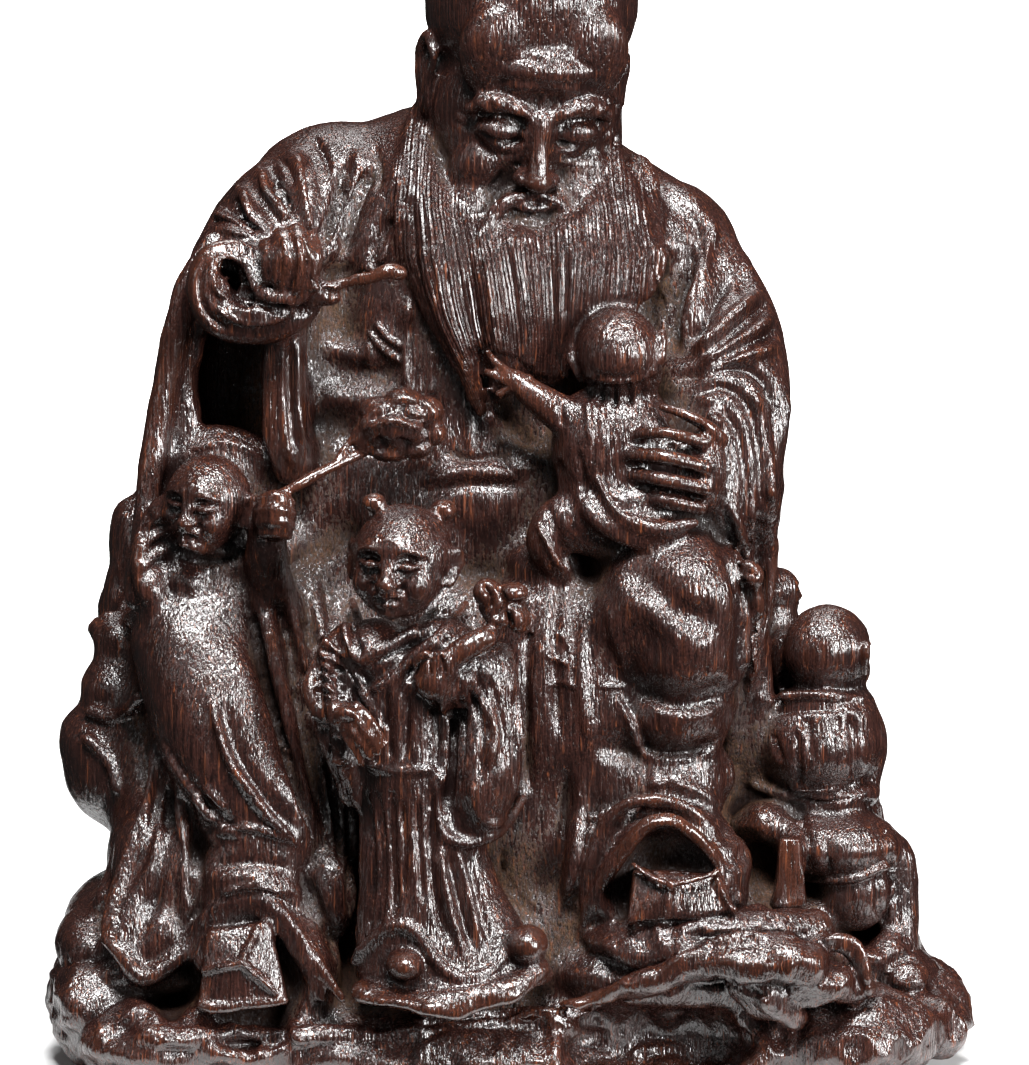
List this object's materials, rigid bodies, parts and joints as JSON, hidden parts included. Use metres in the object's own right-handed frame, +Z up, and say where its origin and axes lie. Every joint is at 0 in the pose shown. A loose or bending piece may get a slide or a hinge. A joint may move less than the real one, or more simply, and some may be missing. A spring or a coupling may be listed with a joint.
{
  "type": "shou lao figure",
  "caption": "Carved bamboo group of a seated bearded elder with a tall bald head, holding a child, with boys about his knees on rocks.",
  "frame": {"origin": "middle of the box's underside, on the surface that the group stands on", "axes": "+Z up through the elder's head, front faces -Y, +X to the viewer's right"},
  "size_m": [0.14, 0.106, 0.18],
  "materials": {
    "bamboo": "gloss"
  },
  "bodies": {
    "root": {"shou_lao_carving": "bamboo"}
  },
  "joints": []
}
